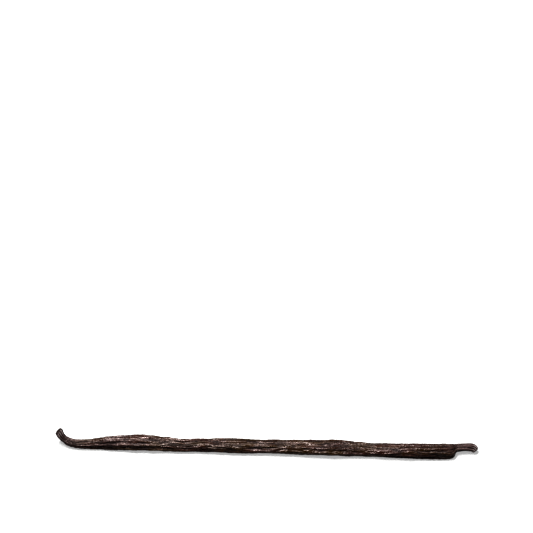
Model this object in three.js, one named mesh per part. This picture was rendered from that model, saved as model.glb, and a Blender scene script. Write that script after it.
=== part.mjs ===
// A cured vanilla pod lying on its side: one slender, wrinkled fruit with a short hooked stalk at
// one end and a narrow bent beak at the other. Millimetres, +Z up, +X from the stalk to the beak,
// and the origin is in the middle of the pod's footprint, on the surface that it lies on.
import * as THREE from 'three';

// Driving sizes, in millimetres
const PRESSED = 0.25; // how far the soft underside is pressed flat where the pod lies
const ROUND_WIDTH = 2.6; // a stretch as narrow as this is round, and a wider one is flatter
const FLATTER = 0.045; // how much of its thickness it loses for each millimetre more
const RIM = 0.6; // how far the rounded rim of the scar at either end reaches along the pod
const STALK_DISH = 0.35; // how far the scar on the stalk is sunk, where it broke off
const BEAK_DISH = 0.25; // how far the scar on the beak is sunk, where the flower fell off
const SWAY = 3; // a ring faces the way that the pod takes over this length before and after it
const FOLD_FADE = 9; // the folds die out over this length towards either end

// Stations along the centre line, from the scar on the stalk to the one on the beak: the place
// along the pod and to the side, the lift above lying flat, and the pod's width there.
const STATIONS = [
  { along: -84.25, side: 4.35, lift: 4.95, width: 3.55 },
  { along: -83.8, side: 4.2, lift: 4.5, width: 3.4 },
  { along: -83.1, side: 3.45, lift: 3.5, width: 3.1 },
  { along: -81.85, side: 2.8, lift: 2.35, width: 2.9 },
  { along: -80.45, side: 2.2, lift: 1.5, width: 3.15 },
  { along: -78.8, side: 1.75, lift: 0.95, width: 3.4 },
  { along: -75.7, side: 1.45, lift: 0.5, width: 3.7 },
  { along: -70.7, side: 1.55, lift: 0.1, width: 4.1 },
  { along: -62.2, side: 1.75, lift: 0, width: 5.5 },
  { along: -51.2, side: 1.55, lift: 0, width: 6.5 },
  { along: -43.2, side: 1.25, lift: 0, width: 5.9 },
  { along: -34.7, side: 0.6, lift: 0.1, width: 5.1 },
  { along: -24.7, side: 0.4, lift: 0.05, width: 5.3 },
  { along: -14.2, side: 0.15, lift: 0, width: 5.9 },
  { along: -4.2, side: -0.25, lift: 0.05, width: 5.5 },
  { along: 5.8, side: -0.45, lift: 0.05, width: 5.6 },
  { along: 15.3, side: -0.9, lift: 0, width: 6.1 },
  { along: 24.3, side: -1.15, lift: 0, width: 6.6 },
  { along: 33.3, side: -1.45, lift: 0.05, width: 5.9 },
  { along: 40.8, side: -1.85, lift: 0.1, width: 5.4 },
  { along: 48.8, side: -2.35, lift: 0.05, width: 5.9 },
  { along: 59.8, side: -2.65, lift: 0, width: 6.2 },
  { along: 70.3, side: -2.55, lift: 0, width: 6.3 },
  { along: 73.4, side: -2.45, lift: 0, width: 6.1 },
  { along: 74.7, side: -2, lift: 0.5, width: 5 },
  { along: 75.7, side: -1.4, lift: 1.4, width: 3.4 },
  { along: 78.75, side: -1, lift: 1.55, width: 3.1 },
  { along: 81.5, side: -0.8, lift: 1.1, width: 3.35 },
  { along: 83.05, side: -1, lift: 0.85, width: 3.2 },
  { along: 84, side: -1.7, lift: 0.35, width: 2.75 },
];

// The lengthwise folds: each set has a number of ridges round the pod, their height as a share of
// the pod's half width, the turn they make along the whole pod, and how they wander from side to
// side on the way, in radians, over so many waves.
const FOLDS = [
  { ridges: 3, height: 0.05, turn: 1.1, wander: 0.35, waves: 2.3, phase: 0.4 },
  { ridges: 7, height: 0.06, turn: 1.1, wander: 0.5, waves: 3.7, phase: 1.9 },
  { ridges: 10, height: 0.035, turn: -0.8, wander: 0.6, waves: 5.3, phase: 0.2 },
];

// How finely the surface is divided
const POINTS_ROUND = 36;
const BODY_STEP = 2.4;
const END_STEP = 0.55;
const END_REACH = 30; // the steps grow from END_STEP to BODY_STEP over this length

const UP = new THREE.Vector3(0, 0, 1);
const TURN = 2 * Math.PI;

// Thickness of the pod over its width, where it is this wide
function flatness(width) {
  return 1 - FLATTER * (width - ROUND_WIDTH);
}

function curveThrough(points) {
  return new THREE.CatmullRomCurve3(points, false, 'catmullrom', 0.5);
}

const centreLine = curveThrough(
  STATIONS.map(({ along, side, lift, width }) => {
    const height = (width * flatness(width)) / 2 - PRESSED + lift;
    return new THREE.Vector3(along, side, height);
  }),
);
const widthLine = curveThrough(STATIONS.map(({ width }) => new THREE.Vector3(width, 0, 0)));
centreLine.arcLengthDivisions = 2000;
const LENGTH = centreLine.getLength();

// 0 at an end of the pod, rising smoothly to 1 at the given distance from both ends
function awayFromEnds(distance, reach) {
  const nearest = Math.min(distance, LENGTH - distance);
  return THREE.MathUtils.smoothstep(nearest, 0, reach);
}

// Distances of the rings from the stalk's scar, close together on the stalk and the beak
function ringDistances() {
  const distances = [];
  let here = RIM;
  while (here < LENGTH - RIM - END_STEP / 2) {
    distances.push(here);
    here += THREE.MathUtils.lerp(END_STEP, BODY_STEP, awayFromEnds(here, END_REACH));
  }
  distances.push(LENGTH - RIM);
  return distances;
}

// The way that the pod takes past a place, evened out except close to its ends
function direction(distance) {
  const reach = THREE.MathUtils.clamp(Math.min(distance, LENGTH - distance), 0.1, SWAY);
  const ahead = centreLine.getPointAt(Math.min(1, (distance + reach) / LENGTH));
  const behind = centreLine.getPointAt(Math.max(0, (distance - reach) / LENGTH));
  return ahead.sub(behind).normalize();
}

// Height of the folds at a place on the surface, as a share of the half width
function foldHeight(angle, distance) {
  const share = distance / LENGTH;
  let height = 0;
  for (const fold of FOLDS) {
    const wander = fold.wander * Math.sin(TURN * fold.waves * share + fold.phase);
    height += fold.height * Math.cos(fold.ridges * angle + TURN * fold.turn * share + wander);
  }
  return height * awayFromEnds(distance, FOLD_FADE);
}

// One ring of points round the centre line. The size scales the whole section, and the shift
// moves it along the pod. Nothing reaches below the surface that the pod lies on, which leaves
// the body flat where its weight rests.
function ring(distance, size = 1, shift = 0) {
  const t = centreLine.getUtoTmapping(distance / LENGTH);
  const width = widthLine.getPoint(t).x;
  const forward = direction(distance);
  const centre = centreLine.getPoint(t).addScaledVector(forward, shift);
  const side = new THREE.Vector3().crossVectors(UP, forward).normalize();
  const top = new THREE.Vector3().crossVectors(forward, side);
  const points = [];
  for (let i = 0; i < POINTS_ROUND; i++) {
    const angle = (TURN * i) / POINTS_ROUND;
    const radius = (size * width * (1 + foldHeight(angle, distance))) / 2;
    const point = centre.clone();
    point.addScaledVector(side, radius * Math.cos(angle));
    point.addScaledVector(top, radius * flatness(width) * Math.sin(angle));
    point.z = Math.max(point.z, 0);
    points.push(point);
  }
  return points;
}

// The scar at an end: a dished middle inside a rounded rim, from the middle outwards. Inwards is
// 1 or -1, the way along the line that leads into the pod.
function scarRings(distance, inwards, dish) {
  return [
    ring(distance, 0.35, inwards * dish * 0.8),
    ring(distance, 0.7, inwards * dish * 0.25),
    ring(distance, 0.88, inwards * RIM * 0.1),
    ring(distance, 0.97, inwards * RIM * 0.45),
  ];
}

// A closed surface: rings with squares between them, and a point in the middle of either scar
function podGeometry() {
  const rings = [
    ...scarRings(0, 1, STALK_DISH),
    ...ringDistances().map((distance) => ring(distance)),
    ...scarRings(LENGTH, -1, BEAK_DISH).reverse(),
  ];
  const start = centreLine.getPoint(0).addScaledVector(direction(0), STALK_DISH);
  const end = centreLine.getPoint(1).addScaledVector(direction(LENGTH), -BEAK_DISH);
  const points = [start, ...rings.flat(), end];
  const faces = [];
  const lastRing = 1 + (rings.length - 1) * POINTS_ROUND;
  for (let i = 0; i < POINTS_ROUND; i++) {
    const next = (i + 1) % POINTS_ROUND;
    faces.push(0, 1 + next, 1 + i);
    for (let r = 0; r < rings.length - 1; r++) {
      const here = 1 + r * POINTS_ROUND;
      const there = here + POINTS_ROUND;
      faces.push(here + i, here + next, there + next);
      faces.push(here + i, there + next, there + i);
    }
    faces.push(lastRing + i, lastRing + next, points.length - 1);
  }
  const geometry = new THREE.BufferGeometry();
  geometry.setAttribute(
    'position',
    new THREE.Float32BufferAttribute(points.flatMap((p) => p.toArray()), 3),
  );
  geometry.setIndex(faces);
  geometry.computeBoundingBox();
  const middle = geometry.boundingBox.getCenter(new THREE.Vector3());
  geometry.translate(-middle.x, -middle.y, 0);
  geometry.computeVertexNormals();
  return geometry;
}

const cured = new THREE.MeshStandardMaterial({ color: '#3a2a24', roughness: 0.42, metalness: 0 });
const pod = new THREE.Mesh(podGeometry(), cured);
pod.name = 'vanilla_pod';

const model = new THREE.Group();
model.add(pod);

export default model;
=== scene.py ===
"""A cured vanilla pod on a pale floor, in metres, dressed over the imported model."""

import math

import bpy
import numpy as np
from mathutils import Euler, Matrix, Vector


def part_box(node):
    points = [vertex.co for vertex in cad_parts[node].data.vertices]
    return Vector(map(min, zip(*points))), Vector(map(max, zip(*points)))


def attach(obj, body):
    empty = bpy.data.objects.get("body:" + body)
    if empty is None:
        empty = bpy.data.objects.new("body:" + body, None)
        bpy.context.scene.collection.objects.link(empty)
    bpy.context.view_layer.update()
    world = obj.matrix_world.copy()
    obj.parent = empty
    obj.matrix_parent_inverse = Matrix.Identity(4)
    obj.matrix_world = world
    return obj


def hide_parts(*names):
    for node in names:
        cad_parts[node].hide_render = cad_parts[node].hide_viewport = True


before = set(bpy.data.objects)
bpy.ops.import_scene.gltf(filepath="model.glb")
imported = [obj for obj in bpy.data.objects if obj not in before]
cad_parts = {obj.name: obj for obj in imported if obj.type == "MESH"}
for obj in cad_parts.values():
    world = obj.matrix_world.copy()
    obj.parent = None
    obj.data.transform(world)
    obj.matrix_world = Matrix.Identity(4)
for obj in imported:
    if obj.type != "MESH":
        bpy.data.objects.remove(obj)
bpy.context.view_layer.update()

MM = 0.001
TURN = 2 * math.pi

# ---------------------------------------------------------------- the pod's driving sizes

NODE = "vanilla_pod"
BODY = "root"

PRESSED = 0.25 * MM  # how far the soft underside is pressed flat where the pod lies
ROUND_WIDTH = 2.6 * MM  # a stretch as narrow as this is round, and a wider one is flatter
FLATTER = 0.045 / MM  # how much of its thickness it loses for each millimetre more
RIM = 0.6 * MM  # how far the rounded rim of the scar at either end reaches along the pod
RIM_SIZE = 0.75  # how large the scar is inside its rim, as a share of the pod's width there
STALK_DISH = 0.35 * MM  # how far the scar on the stalk is sunk, where it broke off
BEAK_DISH = 0.25 * MM  # how far the scar on the beak is sunk, where the flower fell off
DISH_SIZE = 0.85  # how large either dish is, as a share of the pod's width there
SWAY = 3 * MM  # a ring faces the way that the pod takes over this length before and after it
LEAST_SWAY = 0.1 * MM  # and over this length at the very ends
FOLD_FADE = 9 * MM  # the folds die out over this length towards either end

# Stations along the centre line, from the scar on the stalk to the one on the beak, in
# millimetres: the place along the pod and to the side, the lift above lying flat, and the
# pod's width there.
STATIONS = (
    (-84.25, 4.35, 4.95, 3.55),
    (-83.8, 4.2, 4.5, 3.4),
    (-83.1, 3.45, 3.5, 3.1),
    (-81.85, 2.8, 2.35, 2.9),
    (-80.45, 2.2, 1.5, 3.15),
    (-78.8, 1.75, 0.95, 3.4),
    (-75.7, 1.45, 0.5, 3.7),
    (-70.7, 1.55, 0.1, 4.1),
    (-62.2, 1.75, 0, 5.5),
    (-51.2, 1.55, 0, 6.5),
    (-43.2, 1.25, 0, 5.9),
    (-34.7, 0.6, 0.1, 5.1),
    (-24.7, 0.4, 0.05, 5.3),
    (-14.2, 0.15, 0, 5.9),
    (-4.2, -0.25, 0.05, 5.5),
    (5.8, -0.45, 0.05, 5.6),
    (15.3, -0.9, 0, 6.1),
    (24.3, -1.15, 0, 6.6),
    (33.3, -1.45, 0.05, 5.9),
    (40.8, -1.85, 0.1, 5.4),
    (48.8, -2.35, 0.05, 5.9),
    (59.8, -2.65, 0, 6.2),
    (70.3, -2.55, 0, 6.3),
    (73.4, -2.45, 0, 6.1),
    (74.7, -2, 0.5, 5),
    (75.7, -1.4, 1.4, 3.4),
    (78.75, -1, 1.55, 3.1),
    (81.5, -0.8, 1.1, 3.35),
    (83.05, -1, 0.85, 3.2),
    (84, -1.7, 0.35, 2.75),
)

# The lengthwise folds: ridges round the pod, their height as a share of the half width, the
# turn they make along the whole pod, and how they wander on the way: how far in radians, over
# how many waves, and where the first wave starts.
FOLDS = (
    (3, 0.05, 1.1, 0.35, 2.3, 0.4),
    (7, 0.06, 1.1, 0.5, 3.7, 1.9),
    (10, 0.035, -0.8, 0.6, 5.3, 0.2),
)

# How finely the surface is divided
LINE_READINGS = 6000  # places where the centre line is measured
POINTS_ROUND = 112
BODY_STEP = 0.212 * MM
END_STEP = 0.13 * MM
END_REACH = 16 * MM  # the steps grow from END_STEP to BODY_STEP over this length
SCAR_RINGS = 18
WELD = 0.002 * MM  # points closer than this become one

# ---------------------------------------------------------------- the skin's relief

SKIN_SEED = (2.4, 0.7, 7.7)
SKIN_RADIUS = 2.7 * MM  # the skin's patterns are laid out on a pod of this half width
FULL_RELIEF = 1.6  # the relief is lower where the half width is under SKIN_RADIUS over this
DRIFT = 1.6  # how far the wrinkles drift round the pod, in radians
DRIFT_SCALE = 60.0  # and how often in a metre of its length

# The lengthwise wrinkles: the name of their depth, the depth, and how wide and how long they are
WRINKLES = (
    ("Groove Depth", 0.35 * MM, (1.7 * MM, 26 * MM)),
    ("Wrinkle Depth", 0.26 * MM, (0.85 * MM, 11 * MM)),
    ("Fine Depth", 0.13 * MM, (0.45 * MM, 7 * MM)),
    ("Pucker Depth", 0.12 * MM, (0.6 * MM, 1.3 * MM)),
)
WRINKLE_DETAIL = 1.2  # how many finer waves are mixed in
WRINKLE_LEVEL = 0.6  # the skin's own level, where a crease is 0 and a crest is 1
WRINKLES_AT_ENDS = 0.55  # share of their depth that is left at either end

# The short wrinkles across the pod where the stalk bends
BEND_DEPTH = 0.15 * MM
BEND_WRINKLE = (2.4 * MM, 1.2 * MM)  # how wide and how long
BEND_DETAIL = 0.5
BEND_LEVEL = 0.8
BEND_START = (2 * MM, 5 * MM)  # they come in between these distances from the scar
BEND_END = (15 * MM, 9 * MM)  # and die out between these

# The ribs that lead to the scars, on the shrivelled stalk and beak
RIBS = 9
RIB_DEPTH = 0.25 * MM
RIB_LEVEL = 0.65
RIB_ROUNDING = 0.8  # under 1 makes the ribs broad and the gaps between them narrow
RIB_SHIFT = 0.22  # how far they are shifted round the pod, in radians, for uneven gaps
RIB_REACH = (4.5 * MM, 2 * MM)  # they come in between these distances from either scar
RIB_COLOUR = 0.6  # how far the skin's painted crease shade follows them instead of the wrinkles

# How the creases are cut between the wrinkles
CREASE_UNREST = 0.45  # how strong the finer waves are
CREASE_SLOPE = 6.5
CREASE_ROUNDING = 0.7

LOWEST = (-1.0, -1.0, 0.0)  # the floor's height holds the skin up, and the rest is out of reach

# ---------------------------------------------------------------- the skin's colours, with painted shade and painted light

MAUVE_BROWN = (0.021, 0.0074, 0.0047, 1)
OLIVE_BROWN = (0.0195, 0.0104, 0.0014, 1)
PALE_STREAK = (0.04, 0.021, 0.0145, 1)
# Painted shade: the creases are painted near black, for the shade that falls in them
CREASE_PAINTED_SHADE = (0.0024, 0.0003, 0.0001, 1)
# Painted light: the skin is painted paler towards either scar, on the stalk and the beak, for
# the light that they catch
ENDS_PAINTED_LIGHT = (0.064, 0.045, 0.043, 1)
# A painted highlight: a pale band round either scar
RIM_PAINTED_HIGHLIGHT = (0.14, 0.117, 0.115, 1)
SCAR_BROWN = (0.01, 0.006, 0.005, 1)

# Patterns on the skin: how wide and how long their patches are
STRETCHES = (3 * MM, 22 * MM)  # of mauve and of olive
STREAKS = (0.35 * MM, 6 * MM)
OIL = (1.2 * MM, 5 * MM)
LINES = (0.3 * MM, 1.6 * MM)
GRAIN = (0.12 * MM, 0.2 * MM)

# Between which values a colour comes in
STALK_FROM = (15 * MM, 3.5 * MM)  # distances from the nearest scar
RIM_FROM = (2.5 * MM, 1.2 * MM)
SCAR_FROM = (0.97, 0.85)  # shares of the pod's width at its end
CREST_FROM = (0.35, 0.75)  # heights between a crease and a crest
OLIVE_FROM = (0.4, 0.58)  # values of its own pattern
STREAK_FROM = (0.45, 0.7)

OIL_FROM = (0.38, 0.66)  # values of its pattern, from the wettest to the driest skin
OIL_ROUGHNESS = (0.26, 0.48)  # and the roughness that they give
DRYNESS = 0.35  # how much rougher the creases and the scars are
GRAIN_SHARE = 0.35  # height of the grain as a share of the lines'

# ---------------------------------------------------------------- the view

LENS = 100.0
SENSOR = 36.0
VIEW_TILT = math.radians(45)  # the camera looks down by this much
VIEW_WIDTH = 214.7 * MM  # what the frame takes in at the pod
POD_BELOW_MIDDLE = 72.35 * MM  # how far under the frame's middle the pod shows
POD_RIGHT_OF_MIDDLE = 0.04 * MM  # and how far to the right of it
POD_HEIGHT = 2.2 * MM  # of the point of the pod that these are measured at

LIGHT_PLACE = (-0.25, 0.1, 1.4)
LIGHT_SIZE = (0.8, 0.22)
LIGHT_POWER = 51
SKY_STRENGTH = 0.03
FLOOR_HALF = 3.0


# ---------------------------------------------------------------- small helpers


class Nodes:
    """Adds nodes to a tree, sets their inputs and links them."""

    def __init__(self, tree):
        self.tree = tree

    def add(self, kind, settings=None, inputs=None):
        """A new node with its settings, and its inputs set to values or linked to sockets."""
        node = self.tree.nodes.new(kind)
        for name, value in (settings or {}).items():
            setattr(node, name, value)
        for name, value in (inputs or {}).items():
            self.feed(node.inputs[name], value)
        return node

    def feed(self, socket, value):
        if isinstance(value, bpy.types.NodeSocket):
            self.tree.links.new(value, socket)
        else:
            socket.default_value = value

    def math(self, operation, *values):
        node = self.add("ShaderNodeMath", {"operation": operation})
        for socket, value in zip(node.inputs, values):
            self.feed(socket, value)
        return node.outputs[0]

    def vector_math(self, operation, *values):
        node = self.add("ShaderNodeVectorMath", {"operation": operation})
        for socket, value in zip(node.inputs, values):
            self.feed(socket, value)
        return node.outputs["Vector"]

    def scaled(self, vector, scale):
        node = self.add("ShaderNodeVectorMath", {"operation": "SCALE"})
        self.feed(node.inputs[0], vector)
        self.feed(node.inputs["Scale"], scale)
        return node.outputs["Vector"]

    def vector(self, x=0.0, y=0.0, z=0.0):
        return self.add("ShaderNodeCombineXYZ", inputs={"X": x, "Y": y, "Z": z}).outputs[0]

    def stretched(self, vector, size):
        """The vector, counted in patches that are so wide and so long."""
        wide, long = size
        return self.vector_math("DIVIDE", vector, (wide, wide, long))

    def noise(self, vector, scale=1.0, detail=2.0, roughness=0.5, distortion=0.0):
        inputs = {"Vector": vector, "Scale": scale, "Detail": detail}
        inputs.update({"Roughness": roughness, "Distortion": distortion})
        return self.add("ShaderNodeTexNoise", inputs=inputs).outputs[0]

    def remap(self, value, low, high, to_low=0.0, to_high=1.0):
        """A value taken smoothly from one range to another and held at its ends."""
        node = self.add("ShaderNodeMapRange", {"interpolation_type": "SMOOTHSTEP"})
        for socket, number in zip(node.inputs, (value, low, high, to_low, to_high)):
            self.feed(socket, number)
        return node.outputs[0]

    def named(self, name, kind="FLOAT"):
        """What each point of the geometry holds under this name."""
        node = self.add("GeometryNodeInputNamedAttribute", {"data_type": kind})
        node.inputs["Name"].default_value = name
        return node.outputs["Attribute"]

    def stored(self, geometry, name, kind, value):
        """The geometry with the value held by each of its points."""
        node = self.add("GeometryNodeStoreNamedAttribute", {"data_type": kind})
        for socket, given in (("Geometry", geometry), ("Name", name), ("Value", value)):
            self.feed(node.inputs[socket], given)
        return node.outputs[0]


# ---------------------------------------------------------------- the pod's centre line


def curve_through(rows, places):
    """Points of the smooth curve through the rows, at places counted in rows."""
    before = 2 * rows[0] - rows[1]
    after = 2 * rows[-1] - rows[-2]
    padded = np.vstack([before, rows, after])
    first = np.clip(np.floor(places).astype(int), 0, len(rows) - 2)
    t = (places - first)[:, None]
    a, b, c, d = (padded[first + i] for i in range(4))
    slope_in = (c - a) / 2
    slope_out = (d - b) / 2
    cubic = 2 * (b - c) + slope_in + slope_out
    square = 3 * (c - b) - 2 * slope_in - slope_out
    return ((cubic * t + square) * t + slope_in) * t + b


def smoothstep(value):
    share = np.clip(value, 0, 1)
    return share * share * (3 - 2 * share)


def flatness(width):
    """Thickness of the pod over its width, where it is this wide."""
    return 1 - FLATTER * (width - ROUND_WIDTH)


class CentreLine:
    """The line through the stations, read by the distance from the scar on the stalk."""

    def __init__(self):
        rows = np.array(STATIONS) * MM
        widths = rows[:, 3]
        rows[:, 2] += widths * flatness(widths) / 2 - PRESSED
        self.rows = rows
        self.places = np.linspace(0, len(rows) - 1, LINE_READINGS)
        line = curve_through(rows[:, :3], self.places)
        steps = np.linalg.norm(np.diff(line, axis=0), axis=1)
        self.distances = np.concatenate([[0], np.cumsum(steps)])
        self.length = self.distances[-1]

    def read(self, distance):
        """Centre and width at an array of distances."""
        place = np.interp(distance, self.distances, self.places)
        row = curve_through(self.rows, place)
        return row[:, :3], row[:, 3]

    def direction(self, distance):
        """The way that the pod takes there, evened out except close to its ends."""
        reach = np.clip(np.minimum(distance, self.length - distance), LEAST_SWAY, SWAY)
        ahead = self.read(np.minimum(distance + reach, self.length))[0]
        behind = self.read(np.maximum(distance - reach, 0))[0]
        way = ahead - behind
        return way / np.linalg.norm(way, axis=1, keepdims=True)


def scar_rings(distance, inwards, dish):
    """The dished middle of a scar and its rounded rim, from the middle outwards."""
    rings = []
    for i in range(SCAR_RINGS):
        size = math.sin(i / SCAR_RINGS * math.pi / 2)
        rounding = max(0.0, (size - RIM_SIZE) / (1 - RIM_SIZE))
        rim = RIM * (1 - math.sqrt(1 - rounding**2))
        sunk = dish * (1 - smoothstep(size / DISH_SIZE))
        rings.append((distance + inwards * rim, size, inwards * sunk))
    return rings


def ring_stations(line):
    """Distance, size and shift along the pod of every ring, from scar to scar."""
    rings = scar_rings(0, 1, STALK_DISH)
    here = RIM
    while here < line.length - RIM:
        rings.append((here, 1, 0))
        nearest = min(here, line.length - here)
        here += END_STEP + (BODY_STEP - END_STEP) * smoothstep(nearest / END_REACH)
    rings.append((line.length - RIM, 1, 0))
    return np.array(rings + scar_rings(line.length, -1, BEAK_DISH)[::-1])


def twist_along(side, top):
    """How far the rings are turned about the line, summed up from the one in the middle."""
    sine = (side[:-1] * top[1:]).sum(axis=1)
    cosine = (side[:-1] * side[1:]).sum(axis=1)
    twist = np.concatenate([[0], np.cumsum(np.arctan2(sine, cosine))])
    return twist - twist[len(twist) // 2]


def line_mesh(line):
    """A mesh line with one point for each ring, which says where and how large the ring is."""
    distance, size, shift = ring_stations(line).T
    centre, width = line.read(distance)
    forward = line.direction(distance)
    centre += forward * shift[:, None]
    side = np.cross((0, 0, 1), forward)
    side /= np.linalg.norm(side, axis=1, keepdims=True)
    top = np.cross(forward, side)
    mesh = bpy.data.meshes.new("pod_line")
    mesh.from_pydata(centre.tolist(), [(i, i + 1) for i in range(len(centre) - 1)], [])
    vectors = {"centre": centre, "side": side, "top": top}
    for name, values in vectors.items():
        attribute = mesh.attributes.new(name, "FLOAT_VECTOR", "POINT")
        attribute.data.foreach_set("vector", values.astype(np.float32).ravel())
    numbers = {
        "distance": distance,
        "half_width": width * size / 2,
        "flatness": flatness(width),
        "size": size,
        "twist": twist_along(side, top),
    }
    for name, values in numbers.items():
        attribute = mesh.attributes.new(name, "FLOAT", "POINT")
        attribute.data.foreach_set("value", values.astype(np.float32))
    return mesh


# ---------------------------------------------------------------- the pod's skin, by nodes


def named_inputs(tree):
    """Makes the tree's inputs, and gives each one's identifier by its name."""
    floats = {name: depth for name, depth, _ in WRINKLES}
    floats.update({"Bend Depth": BEND_DEPTH, "Rib Depth": RIB_DEPTH})
    rows = [
        ("Line", "NodeSocketGeometry", None),
        ("Points Round", "NodeSocketInt", POINTS_ROUND),
        *((name, "NodeSocketFloat", depth) for name, depth in floats.items()),
        ("Seed", "NodeSocketVector", SKIN_SEED),
        ("Material", "NodeSocketMaterial", None),
    ]
    identifiers = {}
    for name, kind, value in rows:
        item = tree.interface.new_socket(name, in_out="INPUT", socket_type=kind)
        if value is not None:
            item.default_value = value
        identifiers[name] = item.identifier
    return identifiers


def sweep_nodes(nodes, given):
    """A ring swept along the line, which only gives the surface its points and faces."""
    line = nodes.add("GeometryNodeMeshToCurve", inputs={"Mesh": given["Line"]}).outputs[0]
    measures = {"Resolution": given["Points Round"], "Radius": MM}
    circle = nodes.add("GeometryNodeCurvePrimitiveCircle", inputs=measures).outputs["Curve"]
    turn = nodes.add("GeometryNodeSplineParameter").outputs["Factor"]
    ring = nodes.stored(circle, "around", "FLOAT", turn)
    curves = {"Curve": line, "Profile Curve": ring}
    return nodes.add("GeometryNodeCurveToMesh", inputs=curves).outputs[0]


def place_on_skin(nodes, straight, distance):
    """Where a point is on the skin: round a pod of even thickness, and along it."""
    drift = nodes.math("SUBTRACT", nodes.noise(nodes.vector(distance), DRIFT_SCALE), 0.5)
    turned = nodes.math("MULTIPLY_ADD", drift, DRIFT, straight)
    from_middle = nodes.math("MULTIPLY", nodes.named("size"), SKIN_RADIUS)
    across = nodes.math("MULTIPLY", nodes.math("COSINE", turned), from_middle)
    upwards = nodes.math("MULTIPLY", nodes.math("SINE", turned), from_middle)
    return nodes.vector(across, upwards, distance)


def crease_nodes(nodes, skin, seed, size, detail):
    """0 in the creases and 1 on the wrinkles between them, each so wide and so long."""
    moved = nodes.vector_math("ADD", nodes.stretched(skin, size), seed)
    noise = nodes.noise(moved, detail=detail, roughness=CREASE_UNREST)
    away = nodes.math("ABSOLUTE", nodes.math("SUBTRACT", noise, 0.5))
    flank = nodes.math("MINIMUM", nodes.math("MULTIPLY", away, CREASE_SLOPE), 1.0)
    return nodes.math("POWER", flank, CREASE_ROUNDING)


def wrinkle_nodes(nodes, given, skin, away):
    """Height of the lengthwise wrinkles, and how far up a point is from crease to crest."""
    height = 0.0
    raised = 0.0
    for depth, _, size in WRINKLES:
        crease = crease_nodes(nodes, skin, given["Seed"], size, WRINKLE_DETAIL)
        lowered = nodes.math("SUBTRACT", crease, WRINKLE_LEVEL)
        height = nodes.math("MULTIPLY_ADD", lowered, given[depth], height)
        raised = nodes.math("MULTIPLY_ADD", crease, 1 / len(WRINKLES), raised)
    kept = nodes.math("MULTIPLY_ADD", away, 1 - WRINKLES_AT_ENDS, WRINKLES_AT_ENDS)
    return nodes.math("MULTIPLY", height, kept), raised


def bend_nodes(nodes, given, skin, distance, height):
    """The height with the short wrinkles across the bend of the stalk added."""
    across = crease_nodes(nodes, skin, given["Seed"], BEND_WRINKLE, BEND_DETAIL)
    bend = nodes.remap(distance, *BEND_START)
    bend = nodes.math("MULTIPLY", bend, nodes.remap(distance, *BEND_END))
    across = nodes.math("MULTIPLY", nodes.math("SUBTRACT", across, BEND_LEVEL), bend)
    return nodes.math("MULTIPLY_ADD", across, given["Bend Depth"], height)


def rib_nodes(nodes, given, straight, to_end, height, raised):
    """The height and the rise from crease to crest with the ribs at the scars added."""
    shrivelled = nodes.remap(to_end, *RIB_REACH)
    shift = nodes.math("SINE", nodes.math("MULTIPLY_ADD", straight, 2.0, 1.0))
    uneven = nodes.math("MULTIPLY_ADD", shift, RIB_SHIFT, straight)
    wave = nodes.math("COSINE", nodes.math("MULTIPLY", uneven, float(RIBS)))
    rib = nodes.math("POWER", nodes.math("MULTIPLY_ADD", wave, 0.5, 0.5), RIB_ROUNDING)
    ribbed = nodes.math("MULTIPLY", nodes.math("SUBTRACT", rib, RIB_LEVEL), shrivelled)
    height = nodes.math("MULTIPLY_ADD", ribbed, given["Rib Depth"], height)
    towards_rib = nodes.math("MULTIPLY", nodes.math("SUBTRACT", rib, raised), shrivelled)
    return height, nodes.math("MULTIPLY_ADD", towards_rib, RIB_COLOUR, raised)


def fold_nodes(nodes, angle, share):
    """The sum of the lengthwise folds, as a share of the half width."""
    total = 0.0
    for ridges, height, turn, wander, waves, phase in FOLDS:
        wave = nodes.math("MULTIPLY_ADD", share, TURN * waves, phase)
        wandering = nodes.math("MULTIPLY", nodes.math("SINE", wave), wander)
        turning = nodes.math("MULTIPLY_ADD", share, TURN * turn, wandering)
        round_pod = nodes.math("MULTIPLY_ADD", angle, float(ridges), turning)
        total = nodes.math("MULTIPLY_ADD", nodes.math("COSINE", round_pod), height, total)
    return total


def spot_nodes(nodes, angle, folds, height):
    """Where a point of the surface stands, which is never below the floor."""
    half_width = nodes.named("half_width")
    plump = nodes.math("MULTIPLY", half_width, nodes.math("ADD", folds, 1.0))
    fit = nodes.math("DIVIDE", half_width, SKIN_RADIUS)
    fit = nodes.math("MINIMUM", nodes.math("MULTIPLY", fit, FULL_RELIEF), 1.0)
    reach = nodes.math("MULTIPLY_ADD", height, fit, plump)
    across = nodes.math("MULTIPLY", nodes.math("COSINE", angle), reach)
    upwards = nodes.math("MULTIPLY", nodes.math("SINE", angle), reach)
    upwards = nodes.math("MULTIPLY", upwards, nodes.named("flatness"))
    spot = nodes.named("centre", "FLOAT_VECTOR")
    for way, length in (("side", across), ("top", upwards)):
        move = nodes.scaled(nodes.named(way, "FLOAT_VECTOR"), length)
        spot = nodes.vector_math("ADD", spot, move)
    return nodes.vector_math("MAXIMUM", spot, LOWEST)


def dressed_nodes(nodes, given, pod):
    """The pod welded where its rings meet in the scars, smooth, and in its finish."""
    pod = nodes.add("GeometryNodeMergeByDistance", inputs={"Geometry": pod, "Distance": WELD})
    pod = nodes.add("GeometryNodeSetShadeSmooth", inputs={"Geometry": pod.outputs[0]})
    pod = nodes.add("GeometryNodeRealizeInstances", inputs={"Geometry": pod.outputs[0]})
    pod = nodes.add("GeometryNodeSetMaterial", inputs={"Geometry": pod.outputs[0]})
    nodes.feed(pod.inputs["Material"], given["Material"])
    return pod.outputs[0]


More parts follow.
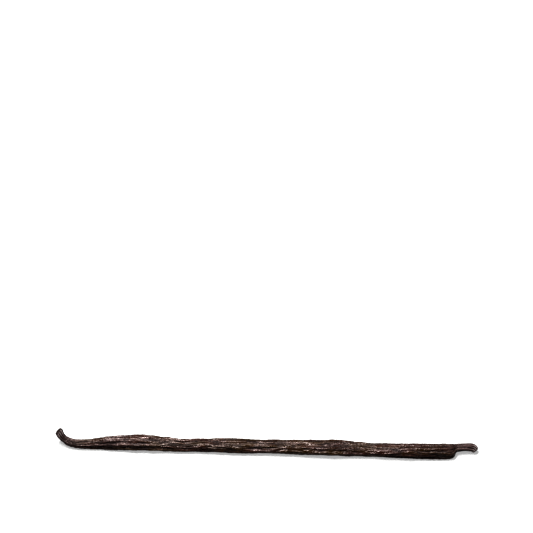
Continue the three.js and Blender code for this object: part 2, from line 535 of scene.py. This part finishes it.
def skin_tree(length):
    """Sweeps a ring along the line, and gives it the folds and wrinkles of a cured skin."""
    tree = bpy.data.node_groups.new("pod_skin", "GeometryNodeTree")
    tree.is_modifier = True
    identifiers = named_inputs(tree)
    tree.interface.new_socket("Pod", in_out="OUTPUT", socket_type="NodeSocketGeometry")
    nodes = Nodes(tree)
    given = nodes.add("NodeGroupInput").outputs

    # The folds follow the rings, as the solid's do. The wrinkles and ribs are laid out on the
    # angle less the rings' own turning, so that they run straight through the bends.
    angle = nodes.math("MULTIPLY", nodes.named("around"), TURN)
    straight = nodes.math("SUBTRACT", angle, nodes.named("twist"))
    distance = nodes.named("distance")
    share = nodes.math("DIVIDE", distance, length)
    to_end = nodes.math("MINIMUM", distance, nodes.math("SUBTRACT", length, distance))
    away = nodes.remap(to_end, 0.0, FOLD_FADE)

    skin = place_on_skin(nodes, straight, distance)
    height, raised = wrinkle_nodes(nodes, given, skin, away)
    height = bend_nodes(nodes, given, skin, distance, height)
    height, raised = rib_nodes(nodes, given, straight, to_end, height, raised)
    folds = nodes.math("MULTIPLY", fold_nodes(nodes, angle, share), away)

    placed = nodes.add("GeometryNodeSetPosition", inputs={"Geometry": sweep_nodes(nodes, given)})
    nodes.feed(placed.inputs["Position"], spot_nodes(nodes, angle, folds, height))
    pod = nodes.stored(placed.outputs[0], "skin", "FLOAT_VECTOR", skin)
    pod = nodes.stored(pod, "raised", "FLOAT", raised)
    pod = nodes.stored(pod, "to_end", "FLOAT", to_end)
    nodes.add("NodeGroupOutput", inputs={"Pod": dressed_nodes(nodes, given, pod)})
    return tree, identifiers


def vanilla_pod(finish):
    """The pod as one plain mesh, standing where its solid stands."""
    line = CentreLine()
    holder = bpy.data.objects.new("pod_line", line_mesh(line))
    bpy.context.collection.objects.link(holder)
    tree, identifiers = skin_tree(line.length)
    modifier = holder.modifiers.new("skin", "NODES")
    modifier.node_group = tree
    modifier[identifiers["Material"]] = finish
    evaluated = holder.evaluated_get(bpy.context.evaluated_depsgraph_get())
    mesh = bpy.data.meshes.new_from_object(evaluated)
    bpy.data.objects.remove(holder)
    low, high = (Vector(corner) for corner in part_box(NODE))
    points = np.empty(len(mesh.vertices) * 3, np.float32)
    mesh.vertices.foreach_get("co", points)
    points = points.reshape(-1, 3)
    middle = (points.min(axis=0) + points.max(axis=0)) / 2
    points[:, :2] += np.array(((low + high) / 2)[:2]) - middle[:2]
    mesh.vertices.foreach_set("co", points.ravel())
    mesh.update()
    pod = bpy.data.objects.new("cured_pod", mesh)
    bpy.context.collection.objects.link(pod)
    return pod


# ---------------------------------------------------------------- finishes


def new_material(name):
    material = bpy.data.materials.new(name)
    material.use_nodes = True
    tree = material.node_tree
    tree.nodes.clear()
    nodes = Nodes(tree)
    shader = nodes.add("ShaderNodeBsdfPrincipled")
    nodes.add("ShaderNodeOutputMaterial", inputs={"Surface": shader.outputs[0]})
    return material, nodes, shader


def cured_skin():
    """Oily dark brown skin in mauve and olive stretches, with painted shade in its creases,
    painted light towards either end, a painted highlight round either scar, and the scars
    darker.
    """
    material, nodes, shader = new_material("cured_skin")

    def held(name, output="Fac"):
        return nodes.add("ShaderNodeAttribute", {"attribute_name": name}).outputs[output]

    def pattern(size, detail):
        return nodes.noise(nodes.stretched(held("skin", "Vector"), size), detail=detail)

    def mixed(share, low, high):
        node = nodes.add("ShaderNodeMix", {"data_type": "RGBA"})
        nodes.feed(node.inputs["Factor"], share)
        nodes.feed(node.inputs[6], low)
        nodes.feed(node.inputs[7], high)
        return node.outputs[2]

    to_end = held("to_end")
    crest = nodes.remap(held("raised"), *CREST_FROM)
    scar = nodes.remap(held("size"), *SCAR_FROM)
    olive = nodes.remap(pattern(STRETCHES, 2.0), *OLIVE_FROM)
    streak = nodes.remap(pattern(STREAKS, 3.0), *STREAK_FROM)
    brown = mixed(olive, MAUVE_BROWN, OLIVE_BROWN)
    brown = mixed(streak, brown, PALE_STREAK)
    # Painted light: paler towards either end
    brown = mixed(nodes.remap(to_end, *STALK_FROM), brown, ENDS_PAINTED_LIGHT)
    # A painted highlight in a band round either scar
    brown = mixed(nodes.remap(to_end, *RIM_FROM), brown, RIM_PAINTED_HIGHLIGHT)
    # Painted shade: near black in the creases, where the skin is lowest
    brown = mixed(crest, CREASE_PAINTED_SHADE, brown)
    nodes.feed(shader.inputs["Base Color"], mixed(scar, brown, SCAR_BROWN))

    oily = nodes.remap(pattern(OIL, 3.0), *OIL_FROM, *OIL_ROUGHNESS)
    dry = nodes.math("MAXIMUM", nodes.math("SUBTRACT", 1.0, crest), scar)
    nodes.feed(shader.inputs["Roughness"], nodes.math("MULTIPLY_ADD", dry, DRYNESS, oily))
    shader.inputs["IOR"].default_value = 1.39
    shader.inputs["Specular Tint"].default_value = (1, 0.86, 0.84, 1)

    grain, lines = (pattern(size, 2.0) for size in (GRAIN, LINES))
    relief = nodes.math("MULTIPLY_ADD", grain, GRAIN_SHARE, lines)
    bump = nodes.add("ShaderNodeBump", inputs={"Strength": 0.6, "Distance": 0.15 * MM})
    nodes.feed(bump.inputs["Height"], relief)
    nodes.feed(shader.inputs["Normal"], bump.outputs[0])
    return material


def pale_floor():
    """A large plain sheet for the pod to lie on, which glows a little."""
    material, _, shader = new_material("pale_floor")
    shader.inputs["Base Color"].default_value = (0.24, 0.24, 0.238, 1)
    shader.inputs["Emission Color"].default_value = (1, 1, 1, 1)
    shader.inputs["Emission Strength"].default_value = 0.3
    shader.inputs["Roughness"].default_value = 0.9
    shader.inputs["Specular IOR Level"].default_value = 0.15
    signs = ((-1, -1), (1, -1), (1, 1), (-1, 1))
    mesh = bpy.data.meshes.new("floor")
    mesh.from_pydata([(x * FLOOR_HALF, y * FLOOR_HALF, 0) for x, y in signs], [], [(0, 1, 2, 3)])
    mesh.materials.append(material)
    floor = bpy.data.objects.new("floor", mesh)
    bpy.context.collection.objects.link(floor)


# ---------------------------------------------------------------- light and camera


def studio():
    """A faint white sky, one soft light over the pod, and a picture of high contrast."""
    scene = bpy.context.scene
    scene.world = bpy.data.worlds.new("studio")
    scene.world.use_nodes = True
    sky = scene.world.node_tree.nodes["Background"]
    sky.inputs["Color"].default_value = (1, 1, 1, 1)
    sky.inputs["Strength"].default_value = SKY_STRENGTH
    scene.view_settings.view_transform = "Standard"
    scene.view_settings.look = "Very High Contrast"
    data = bpy.data.lights.new("overhead", "AREA")
    data.shape = "RECTANGLE"
    data.size, data.size_y = LIGHT_SIZE
    data.energy = LIGHT_POWER
    light = bpy.data.objects.new("overhead", data)
    light.location = LIGHT_PLACE
    light.rotation_euler = (-Vector(LIGHT_PLACE)).to_track_quat("-Z", "Y").to_euler()
    bpy.context.collection.objects.link(light)


def camera():
    """Looks down at the pod, which shows low in the frame."""
    data = bpy.data.cameras.new("view")
    data.lens = LENS
    data.sensor_width = SENSOR
    distance = VIEW_WIDTH * LENS / SENSOR
    turn = Euler((math.pi / 2 - VIEW_TILT, 0, 0))
    pod_in_view = Vector((POD_RIGHT_OF_MIDDLE, -POD_BELOW_MIDDLE, -distance))
    pod_middle = Vector((0, 0, POD_HEIGHT))
    view = bpy.data.objects.new("view", data)
    view.rotation_euler = turn
    view.location = pod_middle - turn.to_matrix() @ pod_in_view
    bpy.context.collection.objects.link(view)
    bpy.context.scene.camera = view


# ---------------------------------------------------------------- the scene

camera()
studio()
pale_floor()
pod = vanilla_pod(cured_skin())
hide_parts(NODE)
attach(pod, BODY)
